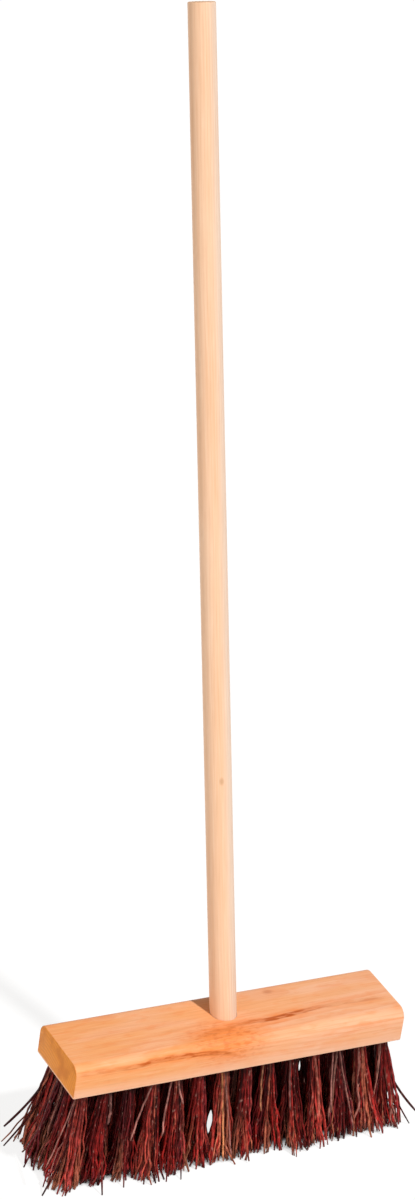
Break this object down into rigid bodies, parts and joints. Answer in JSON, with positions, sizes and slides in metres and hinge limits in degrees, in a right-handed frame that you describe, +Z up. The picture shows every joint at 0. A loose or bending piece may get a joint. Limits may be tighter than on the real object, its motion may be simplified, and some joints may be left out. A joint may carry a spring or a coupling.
{
  "type": "childrens broom",
  "caption": "Child-size push broom: straight wooden head with rows of tufts of stiff red-brown fibre and a plain slanted wooden stick.",
  "frame": {"origin": "on the floor that the bristle tips stand on, straight under the middle of the head block", "axes": "+X along the head, +Y towards the side that the stick leans to, +Z up"},
  "size_m": [0.3537, 0.3475, 0.9646],
  "materials": {
    "block_wood": "planed and sanded, warm orange with straight grain and a few darker streaks",
    "stick_wood": "turned and sanded, pale peach with faint lengthwise grain",
    "bristle_fibre": "stiff woody plant fibre, dark red-brown with some black, red and tan fibres"
  },
  "bodies": {
    "root": {"handle": "stick_wood", "head_block": "block_wood", "tuft_back_01": "bristle_fibre", "tuft_back_02": "bristle_fibre", "tuft_back_03": "bristle_fibre", "tuft_back_04": "bristle_fibre", "tuft_back_05": "bristle_fibre", "tuft_back_06": "bristle_fibre", "tuft_back_07": "bristle_fibre", "tuft_back_08": "bristle_fibre", "tuft_back_09": "bristle_fibre", "tuft_back_10": "bristle_fibre", "tuft_back_11": "bristle_fibre", "tuft_back_12": "bristle_fibre", "tuft_back_13": "bristle_fibre", "tuft_back_14": "bristle_fibre", "tuft_back_mid_01": "bristle_fibre", "tuft_back_mid_02": "bristle_fibre", "tuft_back_mid_03": "bristle_fibre", "tuft_back_mid_04": "bristle_fibre", "tuft_back_mid_05": "bristle_fibre", "tuft_back_mid_06": "bristle_fibre", "tuft_back_mid_07": "bristle_fibre", "tuft_back_mid_08": "bristle_fibre", "tuft_back_mid_09": "bristle_fibre", "tuft_back_mid_10": "bristle_fibre", "tuft_back_mid_11": "bristle_fibre", "tuft_back_mid_12": "bristle_fibre", "tuft_back_mid_13": "bristle_fibre", "tuft_back_mid_14": "bristle_fibre", "tuft_front_01": "bristle_fibre", "tuft_front_02": "bristle_fibre", "tuft_front_03": "bristle_fibre", "tuft_front_04": "bristle_fibre", "tuft_front_05": "bristle_fibre", "tuft_front_06": "bristle_fibre", "tuft_front_07": "bristle_fibre", "tuft_front_08": "bristle_fibre", "tuft_front_09": "bristle_fibre", "tuft_front_10": "bristle_fibre", "tuft_front_11": "bristle_fibre", "tuft_front_12": "bristle_fibre", "tuft_front_13": "bristle_fibre", "tuft_front_14": "bristle_fibre", "tuft_front_mid_01": "bristle_fibre", "tuft_front_mid_02": "bristle_fibre", "tuft_front_mid_03": "bristle_fibre", "tuft_front_mid_04": "bristle_fibre", "tuft_front_mid_05": "bristle_fibre", "tuft_front_mid_06": "bristle_fibre", "tuft_front_mid_07": "bristle_fibre", "tuft_front_mid_08": "bristle_fibre", "tuft_front_mid_09": "bristle_fibre", "tuft_front_mid_10": "bristle_fibre", "tuft_front_mid_11": "bristle_fibre", "tuft_front_mid_12": "bristle_fibre", "tuft_front_mid_13": "bristle_fibre", "tuft_front_mid_14": "bristle_fibre"}
  },
  "joints": []
}
